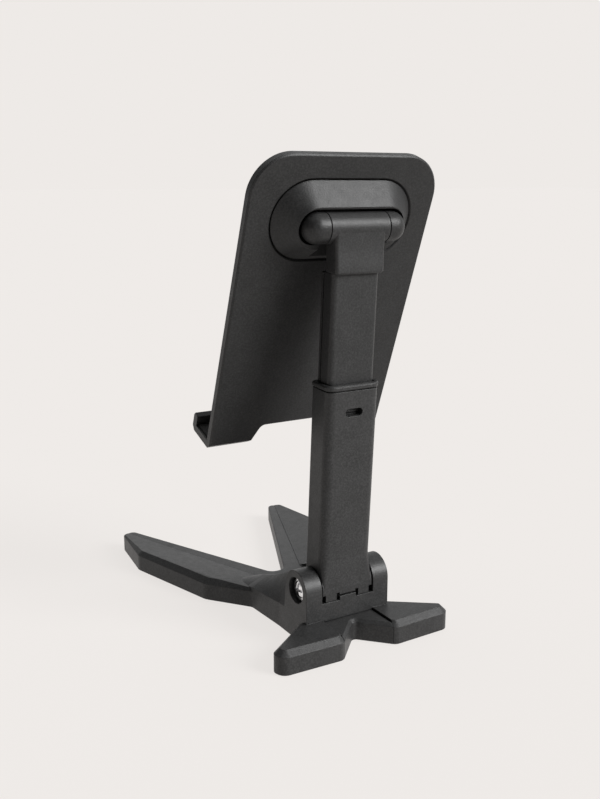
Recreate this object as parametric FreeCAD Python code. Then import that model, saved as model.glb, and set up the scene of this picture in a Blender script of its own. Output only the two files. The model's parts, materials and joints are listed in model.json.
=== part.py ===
import FreeCAD, Part
import math
import os

# Folding desktop phone stand. Millimetres, +Z up, floor at Z = 0.
# X = 0 is the symmetry plane, the phone side faces -Y, the arm hinge axis runs along X at Y = 0.

V = FreeCAD.Vector

# --- base -------------------------------------------------------------------------------------
LEG_TOP = 7.5             # top of legs and feet
LEG_CHAMFER = 1.8
CORE_TOP_REAR = 6.85      # centre plate, behind the clevis
CORE_TOP_FRONT = 5.8      # centre plate, ledge along the inside of the front legs
CORE_CHAMFER_REAR = 1.0
CORE_CHAMFER_FRONT = 0.3
CORE_SPLIT_Y = -9.0       # where the two heights of the centre plate meet
CORE_GAP = 0.08           # assembly gap between the frame and the centre plate
CORE_HALF = 9.2           # half width of the centre plate in the hub
CORE_BEND_Y = -39.5       # from here the plate edges follow the front legs
CORE_FLARE = 0.387        # sideways run of those edges per mm of leg
SEAM_TOP = 5.85           # top of the front legs where they meet the centre plate
SEAM_RISE = 0.113         # rise of that top per mm toward the outside
GROOVE_W = 0.4            # open joint line beside the centre plate, on the rear feet
GROOVE_END_Y = 17.4
PAD_R = 3.0
PAD_DEPTH = 0.9
PAD_PROUD = 0.3
PAD_SPOTS = [(33.0, -91.5), (23.5, 13.6)]
CORE_SCREW_SPOTS = [(0.0, 2.6), (0.0, -3.6)]

# --- arm hinge --------------------------------------------------------------------------------
HINGE_Z = 16.7
LUG_R = 6.5
LUG_IN = 9.7              # half width of the slot
LUG_OUT = 15.5
LUG_FRONT_Y = -7.4
GUSSET_LOW = 5.0          # buried foot of the gussets
GUSSET_FLAT = 0.5         # width of their upper edge
GUSSET = [                # y, outer face, top of the outer face, top of the inner face
    (-5.0, 15.5, 8.4, 20.8), (-11.0, 15.5, 8.05, 18.3), (-17.4, 15.92, 7.7, 15.0), (-24.0, 16.35, 7.45, 12.0),
    (-27.8, 16.6, 7.25, 10.6), (-31.0, 16.6, 6.6, 9.5), (-35.0, 16.6, 6.6, 7.9), (-39.5, 16.6, 6.4, 6.0),
]
BLOCK_TOP = 13.1
BLOCK_FRONT_TOP = 9.4
BOSS_R = 6.2
HEEL_DROP = 3.45          # heel below the hinge axis, rests on the block
TAB_HALF = 3.0
TAB_T = 0.55
TAB_TOP = 14.4
HEAD_R = 3.5
HEAD_H = 1.2
DOME_R = 6.2
DOME_H = 0.7              # rise of the dome above the rim of the head
CROSS_L = 2.1             # half length and half width of the cross recess
CROSS_W = 0.45
SHANK_R = 2.0
RECESS_R = 4.3
RECESS_DEPTH = 3.2
NUT_FLATS = 7.0
NUT_T = 2.8
NUT_INSET = 0.6
SPRING_T = 0.6
WASHER_R = 4.6
FIT = 0.05                # running fit, radial

# --- arm --------------------------------------------------------------------------------------
LEAN = 3.575              # lean of the arm toward the back, degrees
ARM_HALF_W = 9.25
ARM_HALF_T = 5.0
ARM_EDGE_R = 1.0          # phone side
ARM_REAR_R = 2.6
HEEL_SLOT_TOP = -1.25     # reliefs in the heel, from the hinge axis
HEEL_SLOT_W = 1.1
COLLAR_LIP = 0.3
COLLAR_NECK = 0.4         # depth and height of the shadow line under the collar
COLLAR_W0 = 65.0
COLLAR_W1 = 66.9
SLIDE_HALF_W = 8.1
SLIDE_FRONT = -4.0
SLIDE_REAR = 3.1
SLIDE_EDGE_R = 0.8        # phone side
SLIDE_REAR_R = 1.5
SLIDE_GROOVE_Y = -2.3
SLIDE_GAP = 0.2           # play between slide and sleeve
SLIDE_W0 = 40.0
CAVITY_W0 = 8.4
WINDOW_W = 58.2
WINDOW_HALF = 3.1
WINDOW_R = 1.25

# --- head and tilt hinge ----------------------------------------------------------------------
HEAD_W = 113.2            # tilt axis, along the arm from the hinge axis
HEAD_W0 = 100.2
HEAD_FRONT = -3.2
HEAD_BEVEL_Y = -0.8       # where the bevels toward the phone side start
HEAD_BEVEL_X = 5.5
HEAD_REAR_R = 1.0
HEAD_SKIRT = [            # height above HEAD_W0, half width, rear
    (0.5, 8.4, 4.9), (2.0, 8.45, 4.85), (5.0, 8.5, 4.6), (8.5, 8.6, 4.45), (HEAD_W - HEAD_W0, 8.6, 4.45),
]
TONGUE_HALF = 5.0
TONGUE_UP = 6.0
BARREL_R = 4.6
KNUCKLE_HALF = 10.1
CAP_X = 12.8              # centre of the domed end
PIN_R = 1.5
BUSH_R = 2.6

# --- plate and pod ----------------------------------------------------------------------------
TILT = 20.44              # lean of the plate toward the back, degrees
PLATE_W = 64.7
PLATE_T = 2.5
PLATE_TOP = 19.4          # above the tilt axis, along the plate
PLATE_BOTTOM = -78.2
PLATE_RIM = 0.5           # chamfer around the back
PLATE_R = 12.8
AXIS_OUT = 8.9            # tilt axis, out from the front face of the plate
NOTCH_TOP = -71.5
NOTCH_HALF = 14.1
HOOK_INNER = 17.6
FRONT_PAD_HALF = 27.0
FRONT_PAD_TOP = 14.0
FRONT_PAD_LOW = -62.0
FRONT_PAD_SINK = 0.5
FRONT_PAD_PROUD = 0.4
LIP_T = 2.4
LIP_OUT = 11.0
TOE_UP = 4.0
POD_HALF_L = 24.1
POD_R = 12.2
POD_DROP = 0.4            # pod centre below the tilt axis
POD_SEAM = 0.2            # open joint line around the pod
CAP_GAP = 0.3             # joint line between the barrel and its domed ends
CROWN_R = 6.4
CROWN_OUT = 8.4
CRADLE_R = 5.4
CHANNEL_HALF = 10.35
CHANNEL_OUT = 3.9
POD_SCREW_X = 16.0


def solid(shape):
    """The single solid of a boolean result, cleaned of leftover seams."""
    clean = shape.removeSplitter()
    return clean.Solids[0] if len(clean.Solids) == 1 else clean


def mirrored(points):
    """Left-half outline running from the rear centre to the front centre, closed by its mirror."""
    return points + [(-x, y, r) for x, y, r in reversed(points) if x > 0]


def rounded_face(points):
    """Planar face from (x, y, corner radius) points."""
    n = len(points)
    spans = []
    for i, (x, y, r) in enumerate(points):
        here = V(x, y, 0)
        prev = V(points[i - 1][0], points[i - 1][1], 0)
        nxt = V(points[(i + 1) % n][0], points[(i + 1) % n][1], 0)
        a = (prev - here).normalize()
        b = (nxt - here).normalize()
        if r <= 0:
            spans.append((here, None, here))
            continue
        half = a.getAngle(b) / 2
        run = r / math.tan(half)
        mid = here + (a + b).normalize() * (r / math.sin(half) - r)
        spans.append((here + a * run, mid, here + b * run))
    edges = []
    for i, (start, mid, end) in enumerate(spans):
        if mid is not None:
            edges.append(Part.Arc(start, mid, end).toShape())
        edges.append(Part.makeLine(end, spans[(i + 1) % n][0]))
    return Part.Face(Part.Wire(edges))


def prism(points, z0, z1):
    face = rounded_face(points)
    face.translate(V(0, 0, z0))
    return face.extrude(V(0, 0, z1 - z0))


def chamfered(shape, z, size):
    """Chamfer every edge that lies in the plane at height z."""
    rim = [e for e in shape.Edges if all(abs(v.Z - z) < 1e-3 for v in e.Vertexes)]
    return shape.makeChamfer(size, rim)


def box(x0, x1, y0, y1, z0, z1):
    return Part.makeBox(x1 - x0, y1 - y0, z1 - z0, V(x0, y0, z0))


def rod(x0, x1, y, z, r):
    """Cylinder along X."""
    return Part.makeCylinder(r, x1 - x0, V(x0, y, z), V(1, 0, 0))


def side_prism(points, x0, x1):
    """Extrude a (y, z) outline along X."""
    ring = [V(x0, y, z) for y, z in points]
    return Part.Face(Part.makePolygon(ring + ring[:1])).extrude(V(x1 - x0, 0, 0))


def both_sides(shape):
    return [shape, shape.mirror(V(0, 0, 0), V(1, 0, 0))]


def bar(half_w, front, rear, w0, w1, front_r, rear_r):
    """Rounded rectangular bar along Z: half width in X, front and rear in Y."""
    points = [(half_w, rear, rear_r), (half_w, front, front_r),
              (-half_w, front, front_r), (-half_w, rear, rear_r)]
    return prism(points, w0, w1)


def stacked(outlines, ruled):
    """Loft through (height, points) outlines."""
    rings = []
    for w, points in outlines:
        ring_wire = rounded_face(points).OuterWire
        ring_wire.translate(V(0, 0, w))
        rings.append(ring_wire)
    return Part.makeLoft(rings, True, ruled)


def leaned(shape):
    """From the upright arm frame, hinge axis at the origin, to the deployed pose."""
    out = shape.copy()
    out.rotate(V(0, 0, 0), V(1, 0, 0), -LEAN)
    out.translate(V(0, 0, HINGE_Z))
    return out


def on_plate(shape):
    """From the plate frame (X across, Y out of the back, Z up, tilt axis at the origin)."""
    out = shape.copy()
    out.rotate(V(0, 0, 0), V(1, 0, 0), -TILT)
    lean = math.radians(LEAN)
    out.translate(V(0, HEAD_W * math.sin(lean), HINGE_Z + HEAD_W * math.cos(lean)))
    return out


# ----------------------------------------------------------------------------------- base -----

def footprint():
    """Outline of the whole base: two short rear feet, two long front legs."""
    return mirrored([
        (0.0, 9.2, 1.6), (9.9, 19.5, 3.0), (31.0, 18.9, 3.2), (32.2, 14.4, 2.5), (15.5, 2.2, 2.1),
        (15.5, -11.0, 0), (16.6, -27.8, 3.0), (27.8, -41.8, 6.0), (38.3, -78.2, 5.0),
        (35.8, -101.0, 2.1), (31.0, -103.2, 2.1), (2.6, -39.3, 3.5),
    ])


def core_region(grow, z1):
    """Centre strip of the hub that widens to follow the inner sides of the front legs."""
    half = CORE_HALF + grow
    end = -112.0
    flare = half + (CORE_BEND_Y - end) * CORE_FLARE
    return prism([(half, 30, 0), (half, CORE_BEND_Y, 0), (flare, end, 0),
                  (-flare, end, 0), (-half, CORE_BEND_Y, 0), (-half, 30, 0)], -1, z1)


def base_core():
    rear = chamfered(prism(footprint(), 0, CORE_TOP_REAR), CORE_TOP_REAR, CORE_CHAMFER_REAR)
    rear = rear.common(box(-60, 60, CORE_SPLIT_Y, 60, -1, 20))
    front = chamfered(prism(footprint(), 0, CORE_TOP_FRONT), CORE_TOP_FRONT, CORE_CHAMFER_FRONT)
    front = front.common(box(-60, 60, -120, CORE_SPLIT_Y, -1, 20))
    core = rear.fuse(front).common(core_region(0, 20))
    for x, y in CORE_SCREW_SPOTS:
        core = core.cut(Part.makeCylinder(1.6, 20, V(x, y, -1)))
        core = core.cut(Part.makeCylinder(3.0, 2.2, V(x, y, 0)))
    return solid(core)


def clevis():
    """Slot block and its two lugs, with the gussets that run down on to the front legs."""
    lug = side_prism([(LUG_R, LEG_TOP - 2), (LUG_R, HINGE_Z), (-LUG_R, HINGE_Z),
                      (LUG_FRONT_Y, LEG_TOP), (LUG_FRONT_Y, LEG_TOP - 2)], LUG_IN, LUG_OUT)
    lug = lug.fuse(rod(LUG_IN, LUG_OUT, 0, HINGE_Z, LUG_R))
    sections = []
    for y, outer, wall, top in GUSSET:
        ring = [V(LUG_IN, y, GUSSET_LOW), V(outer, y, GUSSET_LOW), V(outer, y, wall),
                V(LUG_IN + GUSSET_FLAT, y, top), V(LUG_IN, y, top)]
        sections.append(Part.makePolygon(ring + ring[:1]))
    gusset = Part.makeLoft(sections, True, True)
    block = side_prism([(LUG_R, CORE_TOP_REAR + 0.1), (LUG_R, BLOCK_TOP), (0, BLOCK_TOP),
                        (-5.4, BLOCK_FRONT_TOP), (LUG_FRONT_Y, BLOCK_FRONT_TOP),
                        (LUG_FRONT_Y, CORE_TOP_REAR + 0.1)], -LUG_IN, LUG_IN)
    block = block.cut(rod(-LUG_IN, LUG_IN, 0, HINGE_Z, LUG_R))
    tab = box(-TAB_HALF, TAB_HALF, LUG_R - TAB_T, LUG_R, BLOCK_TOP - 0.5, TAB_TOP)
    body = block.fuse(tab)
    for piece in both_sides(lug) + both_sides(gusset):
        body = body.fuse(piece)
    return body


def leg_slope():
    """Wedges above the front legs that let their tops fall gently toward the centre plate."""
    run = (LEG_TOP - SEAM_TOP) / SEAM_RISE
    section = [(CORE_HALF - 2, SEAM_TOP - 2 * SEAM_RISE), (CORE_HALF + run, LEG_TOP),
               (CORE_HALF + run, LEG_TOP + 2), (CORE_HALF - 2, LEG_TOP + 2)]
    ring_points = [V(x, CORE_BEND_Y, z) for x, z in section]
    face = Part.Face(Part.makePolygon(ring_points + ring_points[:1]))
    straight = face.extrude(V(0, LUG_FRONT_Y - CORE_BEND_Y, 0))
    flared = face.extrude(V(CORE_FLARE * 80, -80, 0))
    return both_sides(straight) + both_sides(flared)


def base_frame():
    legs = chamfered(prism(footprint(), 0, LEG_TOP), LEG_TOP, LEG_CHAMFER)
    shoulder = prism([(15.5, 6.5, 0), (15.5, -11.0, 0), (16.6, -27.8, 0), (9.0, -27.8, 0), (9.0, 6.5, 0)],
                     LEG_TOP - LEG_CHAMFER - 0.1, LEG_TOP)
    for side in both_sides(shoulder):
        legs = legs.fuse(side)
    groove = box(CORE_HALF, CORE_HALF + GROOVE_W, LUG_R, GROOVE_END_Y, LEG_TOP - 2, LEG_TOP + 1)
    for side in leg_slope() + both_sides(groove):
        legs = legs.cut(side)
    frame = legs.cut(core_region(CORE_GAP, 20)).fuse(clevis())
    frame = frame.cut(rod(-30, 30, 0, HINGE_Z, SHANK_R + FIT))
    frame = frame.cut(rod(LUG_OUT - RECESS_DEPTH, 30, 0, HINGE_Z, RECESS_R))
    frame = frame.cut(hexagon(-30, -LUG_OUT + NUT_INSET + NUT_T, NUT_FLATS + 0.1))
    for x, y in PAD_SPOTS:
        for pocket in both_sides(Part.makeCylinder(PAD_R + 0.1, PAD_DEPTH - PAD_PROUD, V(x, y, 0))):
            frame = frame.cut(pocket)
    for x, y in CORE_SCREW_SPOTS:
        frame = frame.cut(Part.makeCylinder(1.25, 9.2, V(x, y, 0)))
    return solid(frame)


def hexagon(x0, x1, flats):
    """Hexagonal bar along X on the hinge axis."""
    r = flats / math.sqrt(3)
    points = [(r * math.cos(math.radians(a)), HINGE_Z + r * math.sin(math.radians(a)))
              for a in range(30, 390, 60)]
    return side_prism(points, x0, x1)


def foot_pads():
    pads = []
    for x, y in PAD_SPOTS:
        pads += both_sides(Part.makeCylinder(PAD_R, PAD_DEPTH, V(x, y, -PAD_PROUD)))
    return Part.makeCompound(pads)


def core_screws():
    screws = []
    for x, y in CORE_SCREW_SPOTS:
        screw = Part.makeCylinder(2.7, 1.5, V(x, y, 0.7)).fuse(Part.makeCylinder(1.25, 6.6, V(x, y, 2.2)))
        slot = box(x - 1.7, x + 1.7, y - 0.3, y + 0.3, 0.6, 1.4)
        cross = box(x - 0.3, x + 0.3, y - 1.7, y + 1.7, 0.6, 1.4)
        screws.append(solid(screw.cut(slot).cut(cross)))
    return Part.makeCompound(screws)


# --------------------------------------------------------------------------------- hinge ------

def hinge_bolt():
    seat = LUG_OUT - RECESS_DEPTH + SPRING_T
    rim = seat + HEAD_H
    shank = rod(-LUG_OUT + 0.8, seat, 0, HINGE_Z, SHANK_R)
    head = rod(seat, rim, 0, HINGE_Z, HEAD_R)
    ball = Part.makeSphere(DOME_R, V(rim + DOME_H - DOME_R, 0, HINGE_Z))
    dome = ball.common(rod(rim, 30, 0, HINGE_Z, HEAD_R))
    bolt = shank.fuse(head).fuse(dome)
    for half_y, half_z in ((CROSS_L, CROSS_W), (CROSS_W, CROSS_L)):
        bolt = bolt.cut(box(seat + 0.5, 30, -half_y, half_y, HINGE_Z - half_z, HINGE_Z + half_z))
    return solid(bolt)


def ring(x0, x1, outer, inner):
    return rod(x0, x1, 0, HINGE_Z, outer).cut(rod(x0 - 1, x1 + 1, 0, HINGE_Z, inner))


def spring_washer():
    seat = LUG_OUT - RECESS_DEPTH
    washer = ring(seat, seat + SPRING_T, HEAD_R, SHANK_R + FIT)
    return solid(washer.cut(box(seat - 1, seat + 2, -0.3, 0.3, HINGE_Z + 1, HINGE_Z + 5)))


def hinge_nut():
    nut = hexagon(-LUG_OUT + NUT_INSET, -LUG_OUT + NUT_INSET + NUT_T, NUT_FLATS)
    return solid(nut.cut(rod(-30, 0, 0, HINGE_Z, SHANK_R)))


def friction_washers():
    return Part.makeCompound(both_sides(ring(ARM_HALF_W, LUG_IN, WASHER_R, SHANK_R + FIT)))


# ----------------------------------------------------------------------------------- arm ------

def lower_sleeve():
    heel_z = -HEEL_DROP * math.cos(math.radians(LEAN)) - 0.1
    heel = side_prism([(0, heel_z), (BOSS_R, heel_z), (BOSS_R, 0), (0, 0)], -ARM_HALF_W, ARM_HALF_W)
    heel.rotate(V(0, 0, 0), V(1, 0, 0), LEAN)
    w = ARM_HALF_W
    ramp = stacked([(level, [(w, rear, r), (w, -1, 0), (-w, -1, 0), (-w, rear, r)])
                    for level, rear, r in ((0.0, BOSS_R - 0.02, 0.5), (2.5, BOSS_R - 0.25, 1.0),
                                           (10.0, ARM_HALF_T, ARM_REAR_R))], True)
    sleeve = bar(w, -ARM_HALF_T, ARM_HALF_T, 4.0, COLLAR_W0, ARM_EDGE_R, ARM_REAR_R)
    boss = Part.makeCylinder(BOSS_R, 2 * ARM_HALF_W, V(-ARM_HALF_W, 0, 0), V(1, 0, 0))
    sleeve = sleeve.fuse(boss).fuse(heel).fuse(ramp)
    reliefs = [box(-TAB_HALF - 0.5, TAB_HALF + 0.5, LUG_R - 1.9, 12, -6, TAB_TOP - HINGE_Z + 0.4)]
    reliefs += both_sides(box(TAB_HALF, TAB_HALF + HEEL_SLOT_W, LUG_R - 1.9, 12, -6, HEEL_SLOT_TOP))
    reliefs += both_sides(box(w - HEEL_SLOT_W, w + 1, LUG_R - 1.9, 12, -6, HEEL_SLOT_TOP))
    for relief in reliefs:
        relief.rotate(V(0, 0, 0), V(1, 0, 0), LEAN)
        sleeve = sleeve.cut(relief)
    sleeve = sleeve.cut(slide_passage(CAVITY_W0))
    sleeve = sleeve.cut(rod(-20, 20, 0, 0, SHANK_R + FIT))
    flat = WINDOW_HALF - WINDOW_R
    window = box(-flat, flat, 2, 6, WINDOW_W - WINDOW_R, WINDOW_W + WINDOW_R)
    for x in (-flat, flat):
        window = window.fuse(Part.makeCylinder(WINDOW_R, 4, V(x, 2, WINDOW_W), V(0, 1, 0)))
    return leaned(solid(sleeve.cut(window)))


def slide_passage(w0):
    """Clearance channel for the slide, open at the top."""
    return bar(SLIDE_HALF_W + SLIDE_GAP, SLIDE_FRONT - SLIDE_GAP, SLIDE_REAR + SLIDE_GAP, w0, 80, 0.5, 0.5)


def sleeve_collar():
    low = COLLAR_W0 + COLLAR_NECK
    outer = bar(ARM_HALF_W + COLLAR_LIP, -ARM_HALF_T - COLLAR_LIP, ARM_HALF_T + COLLAR_LIP,
                low, COLLAR_W1, ARM_EDGE_R + COLLAR_LIP, ARM_REAR_R + COLLAR_LIP)
    outer = chamfered(chamfered(outer, COLLAR_W1, 0.4), low, 0.2)
    neck = bar(ARM_HALF_W - COLLAR_NECK, -ARM_HALF_T + COLLAR_NECK, ARM_HALF_T - COLLAR_NECK,
               COLLAR_W0, low, ARM_EDGE_R, ARM_REAR_R)
    return leaned(solid(outer.fuse(neck).cut(slide_passage(0))))


def tongue(grow, w0):
    """Tongue of the slide that plugs into the head."""
    return bar(TONGUE_HALF + grow, HEAD_FRONT + 1.0 - grow, SLIDE_REAR - 0.8 + grow,
               w0, HEAD_W0 + TONGUE_UP + grow, 0.6, 0.6)


def upper_slide():
    slide = bar(SLIDE_HALF_W, SLIDE_FRONT, SLIDE_REAR, SLIDE_W0, HEAD_W0, SLIDE_EDGE_R, SLIDE_REAR_R)
    groove = box(SLIDE_HALF_W - 0.4, SLIDE_HALF_W + 1, SLIDE_GROOVE_Y - 0.35, SLIDE_GROOVE_Y + 0.35,
                 SLIDE_W0 + 6, HEAD_W0 - 0.5)
    for side in both_sides(groove):
        slide = slide.cut(side)
    slide = slide.fuse(tongue(0, HEAD_W0))
    slide = slide.cut(Part.makeCylinder(0.9, 9, V(0, -0.2, HEAD_W0 - 2.0)))
    slide = slide.cut(box(-4.0, 4.0, SLIDE_REAR - 0.7, 6, SLIDE_W0 + 8.0, SLIDE_W0 + 23.0))
    slide = slide.cut(box(-5.2, 5.2, -6, SLIDE_FRONT + 0.4, SLIDE_W0 + 3.0, SLIDE_W0 + 19.0))
    return leaned(solid(slide))


def detent_leaf():
    """Leaf spring in the back of the slide; its bump shows in the window of the sleeve."""
    strip = box(-3.8, 3.8, SLIDE_REAR - 0.7, SLIDE_REAR - 0.2, SLIDE_W0 + 8.2, SLIDE_W0 + 22.8)
    bump = rod(-2.2, 2.2, SLIDE_REAR - 0.85, WINDOW_W, 0.95)
    bump = bump.common(box(-3, 3, SLIDE_REAR - 0.45, 6, 40, 70))
    return leaned(solid(strip.fuse(bump)))


def slide_liner():
    """Low-friction pad that keeps the slide from rattling in the sleeve."""
    return leaned(box(-5.1, 5.1, SLIDE_FRONT - 0.1, SLIDE_FRONT + 0.4, SLIDE_W0 + 3.1, SLIDE_W0 + 18.9))


def head_outline(half, rear):
    return [(half, rear, HEAD_REAR_R), (half, HEAD_BEVEL_Y, 0), (HEAD_BEVEL_X, HEAD_FRONT, 0),
            (-HEAD_BEVEL_X, HEAD_FRONT, 0), (-half, HEAD_BEVEL_Y, 0), (-half, rear, HEAD_REAR_R)]


def head_knuckle():
    """Block on top of the slide, bevelled toward the phone side, with the overhanging barrel."""
    skirt = [(HEAD_W0 + up, head_outline(half, rear)) for up, half, rear in HEAD_SKIRT]
    lip = stacked([(HEAD_W0, head_outline(HEAD_SKIRT[0][1] - 0.4, HEAD_SKIRT[0][2] - 0.4)), skirt[0]], True)
    head = stacked(skirt, False).fuse(lip)
    head = head.fuse(Part.makeCylinder(BARREL_R, 2 * KNUCKLE_HALF, V(-KNUCKLE_HALF, 0, HEAD_W), V(1, 0, 0)))
    head = head.cut(tongue(0.05, HEAD_W0 - 1))
    head = head.cut(Part.makeCylinder(PIN_R + FIT, 60, V(-30, 0, HEAD_W), V(1, 0, 0)))
    for x in (-KNUCKLE_HALF - 1, KNUCKLE_HALF - 3.0):
        head = head.cut(Part.makeCylinder(BUSH_R, 4.0, V(x, 0, HEAD_W), V(1, 0, 0)))
    head = head.cut(Part.makeCylinder(0.9, 9, V(0, -0.2, HEAD_W0 + 1.0)))
    return leaned(solid(head))


def head_screw():
    """Set screw that locks the tongue of the slide in the head."""
    return leaned(Part.makeCylinder(0.9, 7.5, V(0, -0.2, HEAD_W0 - 1.5)))


def tilt_bushes():
    bush = Part.makeCylinder(BUSH_R, 3.0, V(KNUCKLE_HALF - 3.0, 0, HEAD_W), V(1, 0, 0))
    bush = bush.cut(Part.makeCylinder(PIN_R + FIT, 60, V(-30, 0, HEAD_W), V(1, 0, 0)))
    return leaned(Part.makeCompound(both_sides(bush)))


# --------------------------------------------------------------------------------- plate ------

def tilt_pin():
    return on_plate(rod(-CAP_X - 2.0, CAP_X + 2.0, 0, 0, PIN_R))


def hinge_cap():
    """Domed end of the barrel with the foot that keys it into the pod."""
    start = KNUCKLE_HALF + CAP_GAP
    cap = rod(start, CAP_X, 0, 0, BARREL_R)
    cap = cap.fuse(Part.makeSphere(BARREL_R, V(CAP_X, 0, 0)).common(box(CAP_X, 30, -9, 9, -9, 9)))
    foot = box(start, CAP_X + 1.6, -AXIS_OUT + 3.2, -2.0, -2.0, 2.0)
    cap = cap.fuse(foot).cut(rod(-30, CAP_X + 2.0, 0, 0, PIN_R))
    return solid(cap)


def stadium(half_l, r, y):
    """Stadium-shaped wire in the plane at distance y, just below the tilt axis."""
    x = half_l - r
    z = -POD_DROP
    arcs = [Part.Arc(V(x, y, z + r), V(x + r, y, z), V(x, y, z - r)).toShape(),
            Part.makeLine(V(x, y, z - r), V(-x, y, z - r)),
            Part.Arc(V(-x, y, z - r), V(-x - r, y, z), V(-x, y, z + r)).toShape(),
            Part.makeLine(V(-x, y, z + r), V(x, y, z + r))]
    return Part.Wire(arcs)


def stadium_block(half_l, r, y0, y1):
    return Part.Face(stadium(half_l, r, y0)).extrude(V(0, y1 - y0, 0))


def pod_housing():
    """Raised hinge housing let into the back of the plate."""
    back = PLATE_T - AXIS_OUT
    crown = CROWN_OUT - AXIS_OUT
    flank = Part.makeLoft([stadium(POD_HALF_L, POD_R, back - POD_SEAM),
                           stadium(POD_HALF_L - POD_R + CROWN_R, CROWN_R, crown)], True, True)
    root = stadium_block(POD_HALF_L, POD_R, back - 1.3, back - POD_SEAM)
    pod = flank.fuse(root)
    cradle = Part.makeCylinder(CRADLE_R, 2 * CAP_X, V(-CAP_X, 0, 0), V(1, 0, 0))
    for x in (-CAP_X, CAP_X):
        cradle = cradle.fuse(Part.makeSphere(CRADLE_R, V(x, 0, 0)))
    pod = pod.cut(cradle)
    pod = pod.cut(box(-CHANNEL_HALF, CHANNEL_HALF, CHANNEL_OUT - AXIS_OUT, 9, -20, 0))
    for key in both_sides(box(KNUCKLE_HALF + CAP_GAP - 0.05, CAP_X + 1.65, -AXIS_OUT + 3.15, 0, -2.05, 2.05)):
        pod = pod.cut(key)
    for x in (-POD_SCREW_X, POD_SCREW_X):
        pod = pod.cut(Part.makeCylinder(0.9, 4.2, V(x, back - 1.4, 6.5), V(0, 1, 0)))
    return on_plate(solid(pod))


def plate_outline():
    half = PLATE_W / 2
    return [(half, PLATE_TOP, PLATE_R), (half, PLATE_BOTTOM, 0), (HOOK_INNER, PLATE_BOTTOM, 1.0),
            (NOTCH_HALF, NOTCH_TOP, 2.5), (-NOTCH_HALF, NOTCH_TOP, 2.5), (-HOOK_INNER, PLATE_BOTTOM, 1.0),
            (-half, PLATE_BOTTOM, 0), (-half, PLATE_TOP, PLATE_R)]


def stood_up(shape):
    """From the XY drawing plane, thickness +Z, to the plate frame, front face at -AXIS_OUT."""
    out = shape.copy()
    out.rotate(V(0, 0, 0), V(1, 0, 0), 90)
    out.translate(V(0, -AXIS_OUT, 0))
    return out


def side_profile():
    """Side view of the plate with the lip under the phone and its upturned toe, in (y, z)."""
    front = -AXIS_OUT
    back = front + PLATE_T
    toe = front - LIP_OUT
    low = PLATE_BOTTOM
    high = PLATE_TOP + 1
    return [(front, high), (back, high), (back, low + 1.6), (back - 1.6, low),
            (toe + 1.4, low), (toe, low + 1.4),
            (toe, low + LIP_T + TOE_UP - 1), (toe + 0.7, low + LIP_T + TOE_UP),
            (toe + LIP_T, low + LIP_T + TOE_UP - 0.6), (toe + LIP_T, low + LIP_T), (front, low + LIP_T)]


def plate():
    blank = chamfered(prism(plate_outline(), -PLATE_T, LIP_OUT + 1), -PLATE_T, PLATE_RIM)
    body = stood_up(blank).common(side_prism(side_profile(), -PLATE_W, PLATE_W))
    back = PLATE_T - AXIS_OUT
    body = body.cut(stadium_block(POD_HALF_L + POD_SEAM, POD_R + POD_SEAM, back - 1.3, back + 1))
    edge = PLATE_RIM + POD_SEAM
    body = body.cut(Part.makeLoft([stadium(POD_HALF_L, POD_R, back - edge),
                                   stadium(POD_HALF_L + edge, POD_R + edge, back)], True, True))
    body = body.cut(stood_up(prism(pad_outline(0), -FRONT_PAD_SINK, 1)))
    for x in (-POD_SCREW_X, POD_SCREW_X):
        body = body.cut(Part.makeCylinder(1.0, 8, V(x, -AXIS_OUT - 1, 6.5), V(0, 1, 0)))
    return on_plate(solid(body))


def pad_outline(gap):
    side = FRONT_PAD_HALF - gap
    top = FRONT_PAD_TOP - gap
    low = FRONT_PAD_LOW + gap
    return [(side, top, 8), (side, low, 3), (-side, low, 3), (-side, top, 8)]


def front_pad():
    return on_plate(stood_up(prism(pad_outline(0.1), -FRONT_PAD_SINK, FRONT_PAD_PROUD)))


def hook_pads():
    """Soft liners on the lips."""
    front = -AXIS_OUT
    low = PLATE_BOTTOM + LIP_T
    pad = box(HOOK_INNER + 0.8, PLATE_W / 2 - 0.8, front - LIP_OUT + LIP_T + 0.3, front - 0.3, low, low + 0.5)
    return on_plate(Part.makeCompound(both_sides(pad)))


def pod_screws():
    back = PLATE_T - AXIS_OUT
    screw = Part.makeCylinder(0.9, 4.05, V(POD_SCREW_X, back - 1.35, 6.5), V(0, 1, 0))
    head = Part.makeCylinder(0.95, 0.6, V(POD_SCREW_X, -AXIS_OUT + 0.55, 6.5), V(0, 1, 0))
    return on_plate(Part.makeCompound(both_sides(solid(screw.fuse(head)))))


def caps():
    left = hinge_cap()
    right = left.mirror(V(0, 0, 0), V(1, 0, 0))
    return {"hinge_cap_left": on_plate(left), "hinge_cap_right": on_plate(right)}


def build():
    nodes = {
        "base_frame": base_frame(), "base_core": base_core(), "foot_pads": foot_pads(),
        "core_screws": core_screws(), "hinge_bolt": hinge_bolt(), "spring_washer": spring_washer(),
        "hinge_nut": hinge_nut(), "friction_washers": friction_washers(), "lower_sleeve": lower_sleeve(),
        "sleeve_collar": sleeve_collar(), "upper_slide": upper_slide(), "detent_leaf": detent_leaf(),
        "slide_liner": slide_liner(), "head_knuckle": head_knuckle(), "head_screw": head_screw(),
        "tilt_bushes": tilt_bushes(), "tilt_pin": tilt_pin(), "pod_housing": pod_housing(),
        "plate": plate(), "front_pad": front_pad(), "hook_pads": hook_pads(), "pod_screws": pod_screws(),
    }
    nodes.update(caps())
    return nodes


def grounded(nodes):
    """Move the assembly so that the origin is the bottom centre of its bounding box."""
    extent = Part.makeCompound(list(nodes.values())).BoundBox
    shift = V(-extent.Center.x, -extent.Center.y, -extent.ZMin)
    for shape in nodes.values():
        shape.translate(shift)
    return nodes


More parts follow.
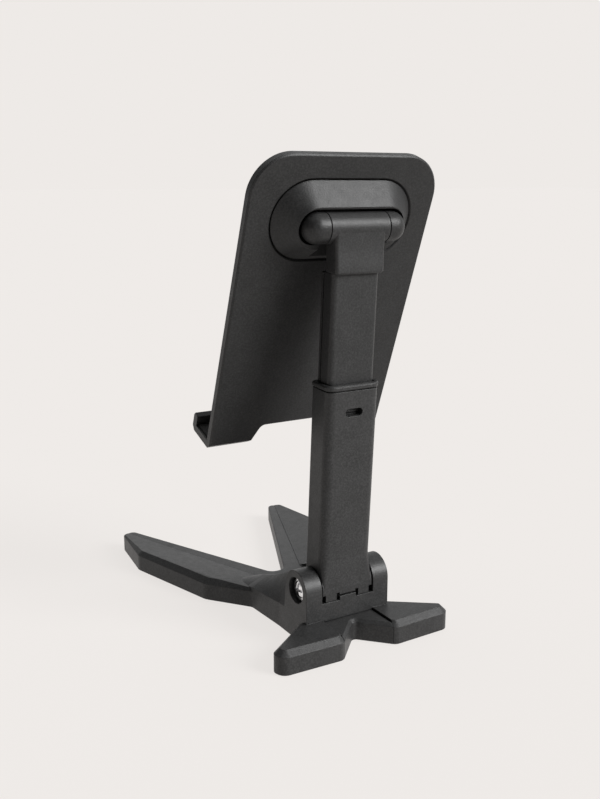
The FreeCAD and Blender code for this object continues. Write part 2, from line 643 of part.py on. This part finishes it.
os.makedirs("parts", exist_ok=True)
for name, shape in grounded(build()).items():
    shape.exportStep("parts/" + name + ".step")
    print(name, len(shape.Solids), "%.1f mm3" % shape.Volume, "valid" if shape.isValid() else "INVALID")
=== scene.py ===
import json
import math

import bpy
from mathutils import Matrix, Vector

# Looks of the folding phone stand. Metres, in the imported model's own frame. The shapes are the packed
# pieces themselves; this script gives them materials, light, a floor and a camera.

MM = 0.001

# --- camera -------------------------------------------------------------------------------------
CAMERA_AT = Vector((155.92, 280.86, 141.98)) * MM
CAMERA_LOOKS = Vector((-0.4974, -0.8387, -0.2217))
LENS = 42.5                           # mm
SENSOR_HEIGHT = 36.0                  # mm
CLIP_START = 0.01                     # metres

# --- light --------------------------------------------------------------------------------------
BACKDROP = (0.855, 0.823, 0.799)      # warm off-white, seen by the camera
SKY_DARK = 0.04                       # light of the room on the object from +X +Y
SKY_BRIGHT = 0.85                     # and from -X -Y
SKY_AXIS = (0.75, 0.55, 0.0)          # direction in which the room gets darker
SKY_FROM = -0.8                       # place along it where the change starts
SKY_TO = 0.6                          # and where it ends
KEY_DIRECTION = (0.50, -0.69, -0.49)
KEY_STRENGTH = 4.3
KEY_ANGLE = 30                        # apparent size in degrees; wider suns cast softer shadows
TOP_DIRECTION = (-0.05, 0.10, -1.0)
TOP_STRENGTH = 0.45
TOP_ANGLE = 60

# --- floor --------------------------------------------------------------------------------------
FLOOR_HALF = 30.0                     # metres, so that its edge lies near the horizon
FLOOR_SHARE = 1.015                   # floor radiance as a share of the backdrop
FLOOR_GLOW = 0.86                     # part of it that shadows do not touch
FLOOR_FIBRE = 0.99                    # share of the floor's tone in its darker fibres

# --- surfaces, lengths in mm --------------------------------------------------------------------
EDGE_R = 0.3                          # shading radius of the edges of the mouldings
PAINTED_SHADE_REACH = 2.2                    # painted shade: faces nearer than this darken each other's colour
PAINTED_SHADE_DEPTH = 0.25                   # share of the colour left where the painted shade is deepest, in the tightest crease
RAY_SAMPLES = 4                       # for the soft edges and the painted crease shade
GRAIN = 0.34                          # spark-eroded grain of the mouldings
GRAIN_HEIGHT = 0.045
SPECK = GRAIN * 1.6                   # light specks among the grain
FLOW = 7.0                            # mottling from the flow of the plastic
FLOW_HEIGHT = 0.05
POLISH = 2.4                          # patches polished by handling

# --- sockets of the Mix node when it mixes colours ----------------------------------------------
MIX_A = 6
MIX_B = 7
MIX_RESULT = 2


# ------------------------------------------------------------------------------------ nodes -----

class Shader:
    """A material's node tree, built up by short calls."""

    def __init__(self, name):
        self.material = bpy.data.materials.new(name)
        self.material.use_nodes = True
        self.tree = self.material.node_tree
        self.bsdf = next(n for n in self.tree.nodes if n.type == "BSDF_PRINCIPLED")
        self.place = self.node("ShaderNodeTexCoord").outputs["Object"]

    def node(self, kind, **settings):
        made = self.tree.nodes.new(kind)
        for key, value in settings.items():
            setattr(made, key, value)
        return made

    def link(self, out, to):
        self.tree.links.new(out, to)

    def noise(self, size_mm, detail=2.0, rough=0.5, stretch=None):
        """Noise whose features are about size_mm across. stretch scales the axes."""
        made = self.node("ShaderNodeTexNoise")
        made.inputs["Scale"].default_value = 1.0 / (size_mm * MM)
        made.inputs["Detail"].default_value = detail
        made.inputs["Roughness"].default_value = rough
        place = self.place
        if stretch:
            mapping = self.node("ShaderNodeMapping")
            mapping.inputs["Scale"].default_value = stretch
            self.link(place, mapping.inputs["Vector"])
            place = mapping.outputs["Vector"]
        self.link(place, made.inputs["Vector"])
        return made.outputs["Fac"]

    def ramp(self, source, low, high, at=(0.3, 0.7)):
        """Colour or grey ramp over a 0 to 1 source."""
        made = self.node("ShaderNodeValToRGB")
        ends = made.color_ramp.elements
        for end, place, tone in zip(ends, at, (low, high)):
            end.position = place
            rgb = tone if isinstance(tone, tuple) else grey(tone)
            end.color = (*rgb, 1)
        self.link(source, made.inputs["Fac"])
        return made.outputs["Color"]

    def mix(self, amount, first, second):
        """Blend of two colour outputs by a 0 to 1 output."""
        made = self.node("ShaderNodeMix", data_type="RGBA")
        self.link(amount, made.inputs["Factor"])
        self.link(first, made.inputs[MIX_A])
        self.link(second, made.inputs[MIX_B])
        return made.outputs[MIX_RESULT]

    def bump(self, source, height_mm, strength=1.0, under=None):
        """Relief of height_mm from a 0 to 1 source, on top of the normal under it."""
        made = self.node("ShaderNodeBump")
        made.inputs["Distance"].default_value = height_mm * MM
        made.inputs["Strength"].default_value = strength
        self.link(source, made.inputs["Height"])
        if under is not None:
            self.link(under, made.inputs["Normal"])
        return made.outputs["Normal"]

    def soft_edges(self, radius_mm):
        """Shading normal that rounds the sharp edges of the mouldings."""
        made = self.node("ShaderNodeBevel", samples=RAY_SAMPLES)
        made.inputs["Radius"].default_value = radius_mm * MM
        return made.outputs["Normal"]

    def painted_crease_shade(self, reach_mm, colour, depth):
        """The colour with painted shade: darkened by ambient occlusion where faces stand close
        together.
        """
        made = self.node("ShaderNodeAmbientOcclusion", samples=RAY_SAMPLES)
        made.inputs["Distance"].default_value = reach_mm * MM
        shade = self.ramp(made.outputs["AO"], depth, 1.0, at=(0.15, 0.75))
        mixed = self.node("ShaderNodeMix", data_type="RGBA", blend_type="MULTIPLY")
        mixed.inputs["Factor"].default_value = 1.0
        self.link(colour, mixed.inputs[MIX_A])
        self.link(shade, mixed.inputs[MIX_B])
        return mixed.outputs[MIX_RESULT]

    def finish(self, colour, rough, normal=None, **fixed):
        """Feed the surface shader. fixed sets its sockets by name, with _ for a space."""
        self.link(colour, self.bsdf.inputs["Base Color"])
        self.link(rough, self.bsdf.inputs["Roughness"])
        if normal is not None:
            self.link(normal, self.bsdf.inputs["Normal"])
        for key, value in fixed.items():
            self.bsdf.inputs[key.replace("_", " ")].default_value = value
        return self.material


def grey(value, tint=0.0):
    """Neutral tone, a little cooler with tint."""
    return (value, value, value * (1 + tint))


def moulded_plastic(name, dark, light, rough=(0.38, 0.47)):
    """Spark-eroded matte moulding: fine grain, faint flow mottling, polished patches, and painted shade
    darkening its creases.
    """
    s = Shader(name)
    grain = s.noise(GRAIN, detail=3.0, rough=0.62)
    flow = s.noise(FLOW, detail=3.0, rough=0.55)
    base = s.ramp(flow, grey(dark, tint=0.01), grey(light, tint=0.01), at=(0.32, 0.70))
    speck = s.ramp(s.noise(SPECK, detail=1.0), grey(dark * 0.7), grey(light * 1.5), at=(0.38, 0.70))
    colour = s.mix(s.ramp(grain, 0.15, 0.75, at=(0.35, 0.65)), base, speck)
    # painted shade: ambient occlusion darkens the colour in creases and between parts, where shadow
    # falls
    colour = s.painted_crease_shade(PAINTED_SHADE_REACH, colour, PAINTED_SHADE_DEPTH)
    gloss = s.ramp(s.noise(POLISH, detail=4.0, rough=0.6), *rough, at=(0.30, 0.72))
    wavy = s.bump(flow, FLOW_HEIGHT, strength=0.4, under=s.soft_edges(EDGE_R))
    return s.finish(colour, gloss, s.bump(grain, GRAIN_HEIGHT, under=wavy), Specular_IOR_Level=0.3)


def soft_rubber(name, dark, light):
    """Matte elastomer with a dusty bloom."""
    s = Shader(name)
    dust = s.noise(size_mm=1.4, detail=5.0, rough=0.7)
    grain = s.noise(size_mm=0.22, detail=2.0)
    colour = s.ramp(dust, grey(dark), grey(light), at=(0.38, 0.72))
    gloss = s.ramp(dust, 0.72, 0.88, at=(0.3, 0.7))
    return s.finish(colour, gloss, s.bump(grain, height_mm=0.02), Specular_IOR_Level=0.35)


def plated_screw(name):
    """Bright plating with faint turning marks and a few duller spots."""
    s = Shader(name)
    turning = s.noise(size_mm=0.25, detail=2.0, stretch=(5.0, 1.0, 1.0))
    stain = s.noise(size_mm=1.1, detail=3.0)
    colour = s.ramp(stain, (0.62, 0.62, 0.63), (0.86, 0.86, 0.87), at=(0.35, 0.6))
    gloss = s.ramp(turning, 0.12, 0.24, at=(0.3, 0.7))
    return s.finish(colour, gloss, s.bump(turning, height_mm=0.004), Metallic=1.0)


def plain_steel(name):
    """Drawn or stamped steel, brushed one way."""
    s = Shader(name)
    drawn = s.noise(size_mm=0.3, detail=4.0, rough=0.65, stretch=(0.12, 1.0, 1.0))
    colour = s.ramp(drawn, (0.40, 0.40, 0.41), (0.60, 0.60, 0.61), at=(0.3, 0.7))
    gloss = s.ramp(drawn, 0.26, 0.42, at=(0.3, 0.7))
    return s.finish(colour, gloss, s.bump(drawn, height_mm=0.006), Metallic=1.0)


def slick_polymer(name):
    """Waxy bearing plastic."""
    s = Shader(name)
    cloud = s.noise(size_mm=1.8, detail=3.0)
    colour = s.ramp(cloud, grey(0.19), grey(0.27), at=(0.35, 0.65))
    gloss = s.ramp(s.noise(size_mm=0.5, detail=3.0), 0.30, 0.44, at=(0.3, 0.7))
    return s.finish(colour, gloss, s.bump(cloud, height_mm=0.01))


# ------------------------------------------------------------------------------------ scene -----

def aim(obj, direction):
    """Turn a camera or light to look along a direction."""
    obj.rotation_mode = "QUATERNION"
    obj.rotation_quaternion = Vector(direction).to_track_quat("-Z", "Y")


def add_camera():
    """Camera on the +X +Y side of the stand, looking down at it a little, without roll."""
    data = bpy.data.cameras.new("camera")
    data.lens = LENS
    data.sensor_fit = "VERTICAL"
    data.sensor_height = SENSOR_HEIGHT
    data.clip_start = CLIP_START
    camera = bpy.data.objects.new("camera", data)
    camera.location = CAMERA_AT
    aim(camera, CAMERA_LOOKS)
    bpy.context.scene.collection.objects.link(camera)
    bpy.context.scene.camera = camera


def add_sun(name, direction, strength, angle):
    """Wide white sun. Returns the light it puts on level ground."""
    data = bpy.data.lights.new(name, "SUN")
    data.energy = strength
    data.angle = math.radians(angle)
    sun = bpy.data.objects.new(name, data)
    aim(sun, direction)
    bpy.context.scene.collection.objects.link(sun)
    return strength * max(0.0, -Vector(direction).normalized().z)


def add_world():
    """The camera sees an even backdrop; the object is lit by a room that is brighter towards -X -Y."""
    world = bpy.data.worlds.new("world")
    world.use_nodes = True
    bpy.context.scene.world = world
    tree = world.node_tree
    shade = tree.nodes["Background"]
    shade.inputs["Color"].default_value = (*BACKDROP, 1)
    room = tree.nodes.new("ShaderNodeBackground")
    room.inputs["Color"].default_value = (1, 1, 1, 1)
    place = tree.nodes.new("ShaderNodeTexCoord")
    along = tree.nodes.new("ShaderNodeVectorMath")
    along.operation = "DOT_PRODUCT"
    along.inputs[1].default_value = SKY_AXIS
    across = tree.nodes.new("ShaderNodeMapRange")
    across.inputs["From Min"].default_value = SKY_FROM
    across.inputs["From Max"].default_value = SKY_TO
    across.inputs["To Min"].default_value = SKY_BRIGHT
    across.inputs["To Max"].default_value = SKY_DARK
    tree.links.new(place.outputs["Generated"], along.inputs[0])
    tree.links.new(along.outputs["Value"], across.inputs["Value"])
    tree.links.new(across.outputs["Result"], room.inputs["Strength"])
    path = tree.nodes.new("ShaderNodeLightPath")
    mix = tree.nodes.new("ShaderNodeMixShader")
    tree.links.new(path.outputs["Is Camera Ray"], mix.inputs[0])
    tree.links.new(room.outputs[0], mix.inputs[1])
    tree.links.new(shade.outputs[0], mix.inputs[2])
    tree.links.new(mix.outputs[0], tree.nodes["World Output"].inputs["Surface"])


def add_floor(down_light):
    """Wide pale floor that meets the backdrop at the horizon; a glow keeps its shadows faint."""
    mesh = bpy.data.meshes.new("floor")
    half = FLOOR_HALF
    corners = [(-half, -half, 0), (half, -half, 0), (half, half, 0), (-half, half, 0)]
    mesh.from_pydata(corners, [], [(0, 1, 2, 3)])
    floor = bpy.data.objects.new("floor", mesh)
    bpy.context.scene.collection.objects.link(floor)
    s = Shader("floor_paper")
    sky = 0.5 * (SKY_DARK + SKY_BRIGHT)
    share = [FLOOR_SHARE * (1 - FLOOR_GLOW) * b / (down_light / math.pi + sky) for b in BACKDROP]
    fibre = s.noise(size_mm=40.0, detail=4.0)
    colour = s.ramp(fibre, tuple(c * FLOOR_FIBRE for c in share), tuple(share), at=(0.3, 0.7))
    glow = s.bsdf.inputs
    glow["Emission Color"].default_value = (*BACKDROP, 1)
    glow["Emission Strength"].default_value = FLOOR_SHARE * FLOOR_GLOW
    s.finish(colour, s.ramp(fibre, 0.9, 0.95), Specular_IOR_Level=0.0)
    mesh.materials.append(s.material)


# ------------------------------------------------------------------------------------ build -----

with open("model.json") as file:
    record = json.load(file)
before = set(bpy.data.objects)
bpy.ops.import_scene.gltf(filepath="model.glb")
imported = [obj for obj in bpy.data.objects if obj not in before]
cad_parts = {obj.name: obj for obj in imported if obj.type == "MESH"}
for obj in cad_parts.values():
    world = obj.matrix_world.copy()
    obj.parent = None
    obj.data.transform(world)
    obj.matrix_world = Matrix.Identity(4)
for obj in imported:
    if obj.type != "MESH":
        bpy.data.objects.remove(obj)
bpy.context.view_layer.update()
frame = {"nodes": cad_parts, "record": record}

add_camera()
down_light = add_sun("key", KEY_DIRECTION, KEY_STRENGTH, KEY_ANGLE)
down_light += add_sun("top", TOP_DIRECTION, TOP_STRENGTH, TOP_ANGLE)
add_world()
add_floor(down_light)

finishes = {
    "base_plastic": moulded_plastic("base_plastic", dark=0.019, light=0.030),
    "arm_plastic": moulded_plastic("arm_plastic", dark=0.019, light=0.029),
    "slide_plastic": moulded_plastic("slide_plastic", dark=0.016, light=0.024, rough=(0.40, 0.48)),
    "plate_plastic": moulded_plastic("plate_plastic", dark=0.013, light=0.020),
    "pad_rubber": soft_rubber("pad_rubber", dark=0.014, light=0.026),
    "bolt_chrome": plated_screw("bolt_chrome"),
    "hardware_steel": plain_steel("hardware_steel"),
    "liner_polymer": slick_polymer("liner_polymer"),
}
for part in frame["record"]["subparts"]:
    mesh = frame["nodes"][part["node"]].data
    mesh.materials.clear()
    mesh.materials.append(finishes[part["material_slot"]])

bpy.context.scene.view_settings.view_transform = "Standard"
